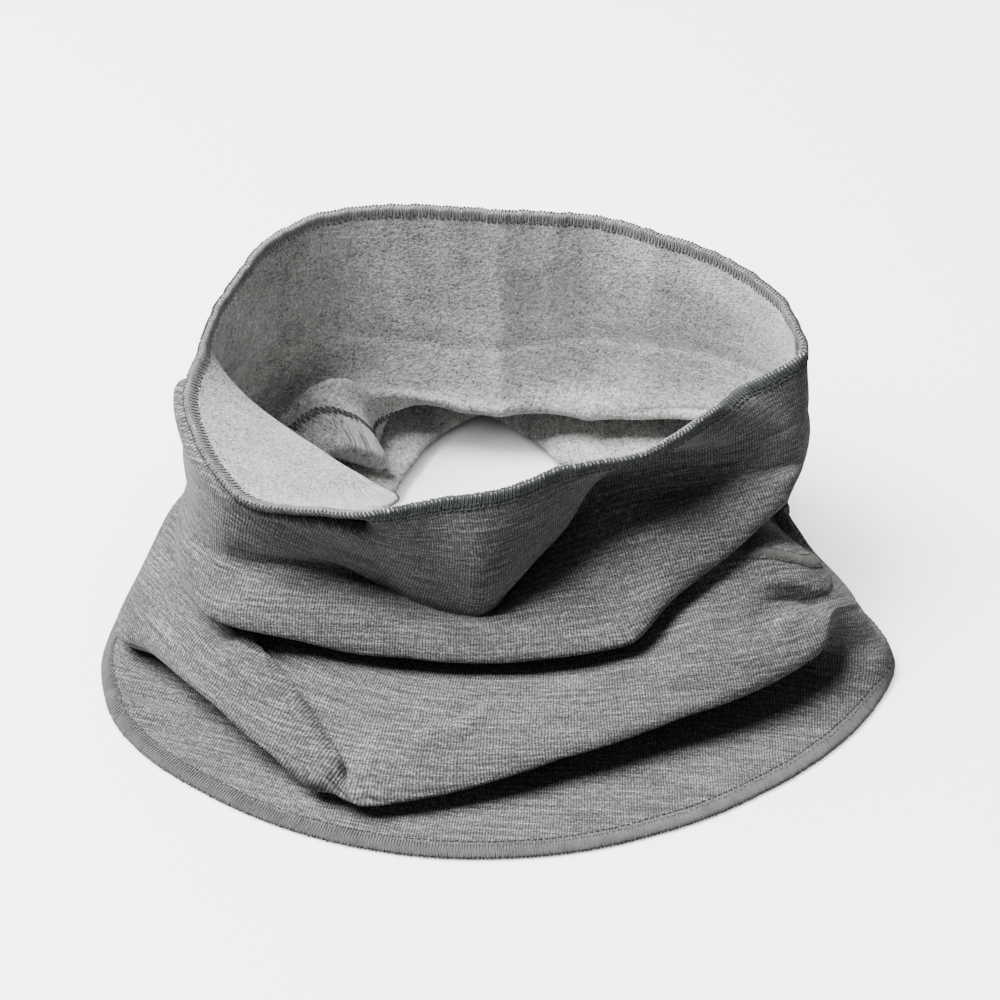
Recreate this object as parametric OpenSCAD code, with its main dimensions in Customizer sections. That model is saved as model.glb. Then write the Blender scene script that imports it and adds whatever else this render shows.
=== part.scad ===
// Neck gaiter: a two-panel tube of double-faced jersey, standing slumped in soft tiers on a flat surface.
// Z is up, the hem rests on z = 0, and the front drape faces -Y.

/* [Size] */
// Width across the skirt, left to right
gaiter_width = 260; // [234:1:286]
// Height of the rim above the surface it stands on
gaiter_height = 101; // [90:1:112]

/* [Cloth] */
// Thickness of the double-faced cloth
cloth = 2; // [1.6:0.1:2.2]

/* [Stitching] */
// Diameter of each sewing thread bundle
thread = 0.8; // [0.6:0.1:1]
// Width of the overlock finish along the rim and the hem
overlock_w = 6; // [4:0.5:8]
// Spacing of the two needle rows of the flat ring seam
seam_w = 6; // [4:0.5:7]
// Compass angle of the side seam, counted from +X
side_seam = 352; // [345:1:359]

/* [Facets] */
// Stations round the tube
stations = 72; // [48:12:80]
// Rows of facets between two neighbouring rings of a panel
rows = 2; // [1:1:2]

/* [Hidden] */

// Thread and cloth colours
jersey_grey = [0.47, 0.48, 0.48];
thread_grey = [0.36, 0.38, 0.38];

// Centre of the tube in plan, which puts the origin under the middle of the whole object
centre = [0, 22.5];

// The cloth's middle surface is a loft through these rings, from the rim down to the hem. Each ring is a
// list of [compass angle, distance from the centre, height], and it closes on itself.
RINGS = [
    // rim edge
    [[0, 91, 100], [15, 80, 100], [35, 64, 101], [70, 52, 101], [90, 50, 101], [108, 55, 101],
     [123, 64, 101], [142, 80, 100], [156, 86, 99], [168, 87, 98], [181, 92, 96], [190, 96, 93],
     [200, 104, 90], [211, 106, 85], [221, 106, 80], [225, 103, 78], [232, 93, 77], [241, 87, 78],
     [249, 80, 80], [257, 74, 81], [270, 70, 82], [286, 64, 84], [297, 67, 85], [306, 73, 87],
     [323, 77, 91], [337, 80, 90], [345, 92, 93], [348, 99, 96], [353, 94, 99]],
    // inward flap on the left, plain wall elsewhere
    [[0, 92, 84], [15, 80, 84], [35, 63, 82], [70, 51, 80], [90, 49, 80], [108, 54, 80], [123, 62, 80],
     [142, 78, 80], [156, 83, 78], [170, 87, 75], [180, 92, 75], [186, 92, 73], [188, 87, 72],
     [191, 81, 68], [194, 74, 64], [202, 63, 58], [213, 54, 52], [226, 48, 48], [230, 51, 50],
     [236, 62, 59], [241, 83, 72], [249, 81, 72], [257, 77, 71], [266, 76, 70], [279, 69, 74],
     [287, 65, 77], [296, 65, 80], [307, 72, 84], [326, 78, 87], [340, 88, 86], [347, 99, 90],
     [353, 96, 88]],
    // collar just under the rim
    [[0, 95, 70], [15, 84, 68], [35, 64, 66], [70, 52, 62], [90, 48, 60], [108, 53, 60], [123, 60, 62],
     [142, 76, 64], [156, 84, 64], [170, 90, 62], [180, 97, 70], [186, 101, 77], [192, 104, 84],
     [200, 106, 85], [211, 107, 81], [221, 104, 76], [226, 99, 73], [231, 92, 72], [237, 87, 70],
     [241, 84, 67], [247, 81, 64], [256, 78, 60], [266, 79, 57], [280, 68, 63], [288, 63, 67],
     [298, 60, 73], [308, 64, 79], [318, 72, 82], [329, 81, 82], [340, 93, 80], [347, 100, 82],
     [353, 98, 76]],
    // front drape, ridge
    [[0, 98, 62], [15, 86, 58], [35, 66, 54], [70, 51, 48], [90, 46, 45], [108, 51, 45], [123, 58, 48],
     [142, 74, 52], [156, 84, 54], [170, 92, 54], [180, 99, 60], [190, 103, 67], [200, 105, 72],
     [206, 107, 73], [211, 108, 73], [218, 107, 71], [226, 98, 71], [230, 93, 68], [234, 88, 63],
     [237, 84, 58], [242, 80, 54], [250, 79, 48], [256, 78, 44], [261, 77, 40], [266, 78, 38],
     [270, 74, 42], [280, 65, 49], [291, 59, 55], [298, 55, 60], [305, 54, 66], [312, 57, 71],
     [323, 66, 73], [332, 84, 73], [340, 97, 76], [347, 101, 74], [353, 99, 68]],
    // front drape, lip
    [[0, 99, 54], [15, 87, 50], [35, 66, 45], [70, 50, 40], [90, 45, 38], [108, 49, 38], [123, 56, 40],
     [142, 72, 42], [156, 84, 44], [170, 93, 46], [180, 99, 48], [190, 104, 58], [200, 106, 61],
     [206, 107, 61], [211, 109, 61], [218, 108, 60], [224, 99, 59], [230, 88, 55], [235, 80, 46],
     [243, 74, 37], [254, 74, 32], [261, 74, 30], [267, 72, 30], [272, 63, 36], [280, 56, 42],
     [291, 52, 49], [302, 48, 55], [309, 50, 60], [316, 57, 64], [324, 67, 66], [332, 84, 68],
     [340, 100, 70], [347, 102, 66], [353, 100, 60]],
    // valley behind the drape
    [[0, 99, 48], [15, 87, 44], [35, 65, 38], [70, 49, 34], [90, 43, 32], [108, 47, 32], [123, 54, 34],
     [142, 70, 36], [156, 84, 38], [170, 94, 41], [180, 100, 43], [190, 103, 48], [200, 106, 52],
     [206, 109, 53], [211, 112, 53], [218, 108, 52], [224, 95, 51], [230, 83, 47], [235, 74, 40],
     [244, 70, 35], [254, 68, 32], [262, 68, 31], [267, 66, 31], [272, 60, 35], [280, 53, 40],
     [290, 49, 45], [300, 49, 51], [307, 53, 55], [314, 60, 59], [322, 71, 61], [331, 87, 63],
     [340, 101, 63], [347, 102, 60], [353, 100, 53]],
    // second tier, middle
    [[0, 98, 43], [15, 86, 40], [35, 63, 32], [70, 47, 29], [90, 41, 27], [108, 44, 27], [123, 52, 29],
     [142, 66, 32], [156, 78, 36], [170, 93, 37], [180, 101, 39], [190, 103, 43], [200, 109, 46],
     [206, 113, 47], [211, 116, 47], [218, 114, 47], [225, 107, 46], [232, 98, 43], [240, 92, 40],
     [250, 87, 37], [262, 85, 35], [272, 84, 36], [282, 80, 38], [292, 77, 40], [300, 76, 45],
     [310, 77, 53], [319, 84, 57], [330, 95, 61], [338, 102, 62], [347, 101, 55], [353, 99, 48]],
    // second tier, lower fold
    [[0, 96, 40], [15, 85, 36], [35, 60, 27], [50, 48, 24], [70, 43, 23], [90, 38, 23], [108, 41, 24],
     [123, 49, 27], [142, 63, 31], [156, 71, 38], [170, 92, 36], [180, 102, 36], [190, 105, 38],
     [200, 111, 40], [206, 115, 39], [212, 118, 37], [221, 120, 38], [225, 117, 38], [228, 113, 37],
     [234, 106, 35], [242, 99, 31], [252, 93, 30], [266, 91, 30], [279, 91, 31], [290, 93, 32],
     [296, 95, 33], [300, 93, 36], [306, 90, 39], [313, 91, 43], [320, 95, 49], [328, 99, 55],
     [334, 102, 56], [338, 100, 55], [347, 97, 50], [353, 95, 44]],
    // tuck under the second tier
    [[0, 89, 36], [15, 82, 33], [35, 60, 24], [50, 49, 21], [70, 46, 20], [90, 41, 20], [108, 44, 21],
     [123, 52, 24], [138, 60, 27], [142, 60, 33], [146, 64, 40], [151, 68, 43], [157, 74, 40],
     [163, 78, 36], [170, 88, 32], [180, 101, 33], [190, 103, 34], [200, 105, 34], [209, 106, 31],
     [216, 107, 29], [221, 106, 28], [225, 103, 27], [230, 96, 28], [239, 90, 27], [253, 81, 26],
     [266, 78, 26], [279, 78, 27], [290, 78, 28], [300, 78, 32], [306, 77, 35], [313, 79, 39],
     [320, 81, 44], [328, 86, 49], [335, 90, 46], [345, 87, 40], [353, 88, 36]],
    // ring seam between the two panels
    [[0, 94, 28], [15, 88, 30], [35, 68, 22], [50, 60, 19], [70, 56, 19], [90, 50, 18], [108, 54, 19],
     [123, 58, 20], [140, 60, 18], [146, 56, 18], [150, 52, 22], [154, 54, 31], [156, 63, 38],
     [158, 70, 35], [164, 77, 29], [170, 86, 28], [180, 100, 30], [190, 105, 31], [200, 107, 31],
     [209, 107, 28], [216, 106, 26], [221, 104, 25], [225, 100, 25], [230, 92, 25], [240, 85, 24],
     [253, 76, 20], [266, 73, 20], [279, 73, 21], [289, 74, 22], [299, 75, 26], [305, 76, 30],
     [313, 80, 36], [320, 89, 42], [325, 99, 45], [328, 107, 43], [330, 114, 39], [332, 116, 37],
     [336, 106, 33], [340, 99, 29], [345, 94, 26], [353, 92, 26]],
    // third tier, middle
    [[0, 97, 24], [15, 94, 28], [35, 82, 28], [70, 76, 30], [90, 74, 30], [108, 75, 29], [123, 70, 22],
     [138, 60, 10], [146, 55, 9], [152, 46, 11], [156, 45, 17], [159, 52, 23], [163, 62, 22],
     [168, 70, 19], [172, 88, 20], [180, 104, 24], [190, 112, 28], [200, 119, 29], [209, 126, 28],
     [216, 126, 27], [221, 123, 26], [228, 115, 25], [236, 108, 25], [245, 104, 23], [255, 102, 22],
     [266, 100, 23], [279, 99, 23], [289, 98, 24], [299, 99, 26], [308, 103, 31], [316, 108, 33],
     [322, 113, 33], [327, 119, 31], [331, 123, 30], [335, 116, 30], [340, 106, 27], [350, 98, 24]],
    // third tier, outer fold
    [[0, 98, 20], [15, 98, 20], [35, 98, 22], [70, 94, 24], [90, 92, 24], [108, 94, 22], [123, 92, 15],
     [142, 86, 11], [156, 92, 12], [170, 104, 14], [180, 108, 16], [190, 114, 15], [198, 126, 14],
     [207, 142, 13], [211, 136, 17], [215, 134, 19], [221, 133, 20], [228, 132, 19], [235, 133, 15],
     [244, 134, 11], [249, 136, 10], [252, 138, 9], [256, 134, 10], [263, 128, 11], [270, 123, 13],
     [279, 118, 15], [291, 116, 16], [299, 117, 18], [310, 122, 19], [319, 127, 21], [323, 130, 24],
     [326, 126, 29], [329, 126, 28], [332, 132, 22], [335, 128, 20], [341, 110, 22], [350, 98, 22]],
    // inner fold round the floor opening
    [[0, 60, 5], [30, 46, 5], [57, 39, 4], [81, 50, 4], [96, 62, 4], [116, 52, 5], [135, 44, 5],
     [158, 40, 5], [172, 52, 5], [186, 80, 6], [198, 112, 6], [207, 134, 6], [214, 122, 5],
     [221, 114, 5], [236, 108, 4], [253, 107, 4], [270, 97, 4], [289, 93, 4], [305, 97, 5],
     [318, 106, 7], [323, 112, 8], [327, 126, 12], [331, 138, 14], [335, 134, 12], [341, 108, 8],
     [350, 74, 6]],
    // skirt, middle
    [[0, 84, 4], [30, 76, 4], [60, 72, 3], [90, 80, 3], [120, 78, 3], [158, 74, 4], [175, 84, 4],
     [190, 104, 4], [200, 126, 5], [207, 141, 5], [214, 138, 4], [221, 134, 3], [236, 129, 3],
     [253, 128, 3], [270, 122, 3], [289, 119, 3], [305, 121, 3], [318, 126, 4], [326, 137, 6],
     [331, 143, 9], [335, 139, 7], [341, 124, 5], [350, 90, 4]],
    // hem edge
    [[0, 100, 1], [15, 102, 1], [35, 106, 1], [60, 104, 1], [90, 98, 1], [120, 103, 1], [145, 108, 1],
     [165, 111, 1], [180, 114, 1], [192, 124, 1], [200, 137, 1], [207, 146, 2], [211, 149, 1],
     [216, 152, 1], [221, 152, 1], [226, 151, 1], [232, 149, 1], [243, 147, 1], [255, 145, 1],
     [270, 143, 1], [289, 142, 1], [304, 143, 1], [315, 145, 1], [321, 146, 1], [329, 146, 1],
     [333, 145, 2], [338, 136, 1], [345, 117, 1], [352, 106, 1]],];
RIM = 0;
SEAM = 9;
HEM = 14;

// The rings are drawn for a skirt 260 mm wide and a rim 101 mm high
plan_scale = gaiter_width / 260;
rise_scale = gaiter_height / 101;

// Angle over which a ring's corners are rounded
corner = 2;

// Cut ends of the cloth stop this far short of a seam line, as a share of a row or as an angle
seam_share = 0.02;
seam_angle = 0.25;

// Clear gap between a thread and the cloth, and the number of sides of a thread
gap = 0.25;
thread_sides = 6;

// Distance of each looper thread from the middle of the cloth's cut edge
looper_offset = 0.6;

// ---- rings ----

// One column of a ring against its angle, repeated a turn each way so that it closes
function column(ring, c) = [for (turn = [-360, 0, 360]) for (k = ring) [k[0] + turn, k[c]]];

RADII = [for (ring = RINGS) column(ring, 1)];
HEIGHTS = [for (ring = RINGS) column(ring, 2)];

// A table read at an angle, with its corners rounded
function soft_lookup(a, table) =
    lookup(a - corner, table) / 4 + lookup(a, table) / 2 + lookup(a + corner, table) / 4;

// A point of ring i at compass angle a
function ring_point(i, a) =
    let (r = plan_scale * soft_lookup(a, RADII[i]))
    [centre[0] + r * cos(a), centre[1] + r * sin(a), rise_scale * soft_lookup(a, HEIGHTS[i])];

// ---- surface ----

// Root of the distance between two points, the knot spacing of the spline below
function knot(p, q) = sqrt(norm(q - p)) + 0.001;

// How sharply the cloth turns at each ring: 0 a smooth bend, 1 a hard crease
CRISP = [0, 0.2, 0.1, 0.75, 0.6, 0.2, 0, 0.45, 0.4, 0.2, 0, 0.5, 0.4, 0, 0];

// Point at share t of the way from ring g to ring g + 1, on a curve through the points pts
function spline(pts, g, t) =
    let (
        p1 = pts[g],
        p2 = pts[g + 1],
        p0 = g > RIM ? pts[g - 1] : 2 * p1 - p2,
        p3 = g + 2 <= HEM ? pts[g + 2] : 2 * p2 - p1,
        k01 = knot(p0, p1),
        k12 = knot(p1, p2),
        k23 = knot(p2, p3),
        bend1 = k12 * ((p1 - p0) / k01 - (p2 - p0) / (k01 + k12)),
        bend2 = k12 * ((p3 - p2) / k23 - (p3 - p1) / (k12 + k23)),
        m1 = p2 - p1 + (1 - CRISP[g]) * bend1,
        m2 = p2 - p1 + (1 - CRISP[g + 1]) * bend2
    )
    (2 * t^3 - 3 * t^2 + 1) * p1 + (t^3 - 2 * t^2 + t) * m1 + (3 * t^2 - 2 * t^3) * p2 + (t^3 - t^2) * m2;

// Compass angle of station s
function station_angle(s) = side_seam - 360 + seam_angle + s * (360 - 2 * seam_angle) / stations;

// Points of all rings at every station
RIBS = [for (s = [0:stations]) [for (i = [RIM:HEM]) ring_point(i, station_angle(s))]];

// Grid of points between two rings: one list for each station, running down the cloth
function grid(first, last) = [
    for (pts = RIBS) [
        for (g = [first:last - 1]) for (k = [0:rows - 1])
            spline(pts, g, g == SEAM && k == 0 ? seam_share : k / rows),
        last == SEAM ? spline(pts, last - 1, 1 - seam_share) : pts[last],
    ]
];

UPPER = grid(RIM, SEAM);
LOWER = grid(SEAM, HEM);

function unit(v) = v / norm(v);

// Direction down the cloth, and out of its jersey face, at station s and row k of a grid
function down(g, s, k) = unit(g[s][min(k + 1, len(g[s]) - 1)] - g[s][max(k - 1, 0)]);
function around(g, s, k) = unit(g[min(s + 1, stations)][k] - g[max(s - 1, 0)][k]);
function outward(g, s, k) = unit(cross(down(g, s, k), around(g, s, k)));

// ---- solids ----

// Closed shell of cloth over a grid, with half the thickness on each side
module cloth_shell(g) {
    count = len(g[0]);
    side = (stations + 1) * count;
    normals = [for (s = [0:stations]) [for (k = [0:count - 1]) outward(g, s, k)]];
    points = [
        for (face = [1, -1]) for (s = [0:stations]) for (k = [0:count - 1])
            g[s][k] + face * cloth / 2 * normals[s][k],
    ];
    jersey = [
        for (s = [0:stations - 1]) for (k = [0:count - 2])
            [s * count + k, (s + 1) * count + k, (s + 1) * count + k + 1, s * count + k + 1],
    ];
    fleece = [for (q = jersey) [for (i = [3:-1:0]) q[i] + side]];
    cut = [
        for (s = [0:stations - 1]) [(s + 1) * count, s * count, s * count + side, (s + 1) * count + side],
        for (s = [0:stations - 1])
            let (a = (s + 1) * count - 1, b = a + count) [a, b, b + side, a + side],
        for (k = [0:count - 2]) [k, k + 1, k + 1 + side, k + side],
        for (k = [0:count - 2]) let (a = stations * count + k) [a + 1, a, a + side, a + 1 + side],
    ];
    triangles = [
        for (q = concat(jersey, fleece, cut)) each [[q[0], q[1], q[2]], [q[0], q[2], q[3]]],
    ];
    polyhedron(points, triangles);
}

// Thread swept along centre points, round which its section lies in the plane of two directions
module thread_sweep(path) {
    last = len(path) - 1;
    points = [
        for (p = path) for (j = [0:thread_sides - 1])
            let (turn = 360 * j / thread_sides)
            p[0] + thread / 2 * (cos(turn) * p[1] + sin(turn) * p[2]),
    ];
    wall = [
        for (i = [0:last - 1]) for (j = [0:thread_sides - 1])
            let (
                a = i * thread_sides + j,
                b = i * thread_sides + (j + 1) % thread_sides
            )
            each [[a, b, b + thread_sides], [a, b + thread_sides, a + thread_sides]],
    ];
    caps = [
        [for (j = [thread_sides - 1:-1:0]) j],
        [for (j = [0:thread_sides - 1]) last * thread_sides + j],
    ];
    polyhedron(points, concat(wall, caps));
}

// Height of a thread's middle above the middle of the cloth
lift = cloth / 2 + gap + thread / 2;
edge = gap + thread / 2;
HEM_ROW = len(LOWER[0]) - 1;

// A thread round the tube: at station s it lies beside a row, shifted along the cloth and lifted off it
function round_thread(g, k, along, up) = [
    for (s = [0:stations])
        let (d = down(g, s, k), n = outward(g, s, k)) [g[s][k] + along * d + up * n, n, d],
];

// A thread down the tube, on the jersey face beside the side seam
function side_thread(g, s, up) = [
    for (k = [1:len(g[0]) - 2])
        let (a = around(g, s, k), n = outward(g, s, k)) [g[s][k] + up * n, a, n],
];

// ---- sub-parts ----

module upper_panel() {
    color(jersey_grey) cloth_shell(UPPER);
}

module lower_panel() {
    color(jersey_grey) cloth_shell(LOWER);
}

// Overlock finish: a needle row on the jersey face and two loopers over the cut edge

module rim_needle_thread() {
    color(thread_grey) thread_sweep(round_thread(UPPER, 0, overlock_w, lift));
}

module rim_upper_looper_thread() {
    color(thread_grey) thread_sweep(round_thread(UPPER, 0, -edge, looper_offset));
}

module rim_lower_looper_thread() {
    color(thread_grey) thread_sweep(round_thread(UPPER, 0, -edge, -looper_offset));
}

module hem_needle_thread() {
    color(thread_grey) thread_sweep(round_thread(LOWER, HEM_ROW, -overlock_w, lift));
}

module hem_upper_looper_thread() {
    color(thread_grey) thread_sweep(round_thread(LOWER, HEM_ROW, edge, looper_offset));
}

module hem_lower_looper_thread() {
    color(thread_grey) thread_sweep(round_thread(LOWER, HEM_ROW, edge, -looper_offset));
}

// Flat ring seam: a needle row in each panel, a cover thread over the join and a looper inside
module ring_seam_needle_thread_upper() {
    color(thread_grey) thread_sweep(round_thread(LOWER, 0, -seam_w / 2, lift));
}

module ring_seam_needle_thread_lower() {
    color(thread_grey) thread_sweep(round_thread(LOWER, 0, seam_w / 2, lift));
}

module ring_seam_cover_thread() {
    color(thread_grey) thread_sweep(round_thread(LOWER, 0, 0, lift));
}

module ring_seam_looper_thread() {
    color(thread_grey) thread_sweep(round_thread(LOWER, 0, 0, -lift));
}

// Side seams: a needle thread outside and a looper thread inside, on each panel
module upper_side_seam_needle_thread() {
    color(thread_grey) thread_sweep(side_thread(UPPER, 0, lift));
}

module upper_side_seam_looper_thread() {
    color(thread_grey) thread_sweep(side_thread(UPPER, 0, -lift));
}

module lower_side_seam_needle_thread() {
    color(thread_grey) thread_sweep(side_thread(LOWER, 0, lift));
}

module lower_side_seam_looper_thread() {
    color(thread_grey) thread_sweep(side_thread(LOWER, 0, -lift));
}

upper_panel();
lower_panel();
rim_needle_thread();
rim_upper_looper_thread();
rim_lower_looper_thread();
hem_needle_thread();
hem_upper_looper_thread();
hem_lower_looper_thread();
ring_seam_needle_thread_upper();
ring_seam_needle_thread_lower();
ring_seam_cover_thread();
ring_seam_looper_thread();
upper_side_seam_needle_thread();
upper_side_seam_looper_thread();
lower_side_seam_needle_thread();
lower_side_seam_looper_thread();
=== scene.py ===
import math

import bpy
import numpy as np
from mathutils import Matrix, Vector


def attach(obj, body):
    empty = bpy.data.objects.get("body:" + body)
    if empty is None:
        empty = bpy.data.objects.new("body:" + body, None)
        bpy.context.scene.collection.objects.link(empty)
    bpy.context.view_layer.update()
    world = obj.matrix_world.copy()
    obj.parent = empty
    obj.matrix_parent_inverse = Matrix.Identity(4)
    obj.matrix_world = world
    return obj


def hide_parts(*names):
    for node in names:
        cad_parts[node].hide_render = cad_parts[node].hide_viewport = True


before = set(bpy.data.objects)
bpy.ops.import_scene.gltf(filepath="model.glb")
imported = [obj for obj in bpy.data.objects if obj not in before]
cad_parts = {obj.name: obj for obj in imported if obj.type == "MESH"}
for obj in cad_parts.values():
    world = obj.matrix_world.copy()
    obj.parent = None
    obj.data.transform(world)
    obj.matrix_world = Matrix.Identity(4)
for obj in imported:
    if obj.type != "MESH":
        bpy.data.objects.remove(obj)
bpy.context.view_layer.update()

# ---------------------------------------------------------------------------
# Sizes, in millimetres unless a name says otherwise
# ---------------------------------------------------------------------------

MM = 0.001
CENTRE = (0.0, 22.5)        # middle of the tube in plan
CLOTH = 1.9                 # thickness of the double-faced cloth
TOP = CLOTH / 2             # height of the jersey face over the middle surface
SIDE_SEAM = 352.0           # compass angle of the side seams
SEAM_SLIT = 0.05            # degrees left open between the cut ends of a panel
SIDE_SEAM_INSET = 1.0       # distance kept between a panel's edges and its side seam's stitches
CORNER = 2.0                # degrees over which a ring's corners are rounded
HEM_OVERLOCK_W = 4.6        # width of the overlock along the hem
RIM_OVERLOCK_W = 3.8        # and along the rim
RING_SEAM_W = 5.2           # distance between the needle rows of the ring seam
NEEDLE_ROW_GAP = 1.4        # distance between the two needle rows of an overlock
WALE = 0.86                 # knit pitch across the jersey
COURSE = 0.62               # and down it
STITCH = 2.0                # length of one stitch
LOOPER_STITCH = 1.2         # spacing of the looper threads over the cut edges
HEM_LOOPER_STITCH = 0.75 * LOOPER_STITCH    # closer on the hem's jersey face
COVER_STITCH = 1.3          # spacing of the ring seam's cover thread
NEEDLE_R = 0.22             # radius of the overlock's and ring seam's needle threads, and its looper
UPPER_LOOPER_R = 0.25       # radius of the looper thread that shows on the jersey face
LOWER_LOOPER_R = 0.24       # and of the one on the fleece face
COVER_R = 0.24              # radius of the ring seam's cover thread
SIDE_NEEDLE_R = 0.26        # radius of the side seams' needle thread
SIDE_LOOPER_R = 0.28        # and of their looper thread
THREAD_SIDES = 5            # flat sides of a thread's round section
STITCH_JITTER = 0.12        # how unevenly the stitches lie
JITTER_ALONG = 0.5          # share of that taken along the seam
JITTER_ACROSS = 0.6         # and across it

STATIONS = 520              # columns of the cloth mesh, round the tube
FRONT = (180, 350)          # compass angles between which the columns lie closer together
FRONT_SHARE = 1.5           # share of columns per degree at the front
BACK_SHARE = 0.7            # and at the back
SHARE_BLEND = 4             # degrees over which one share passes into the other

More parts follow.
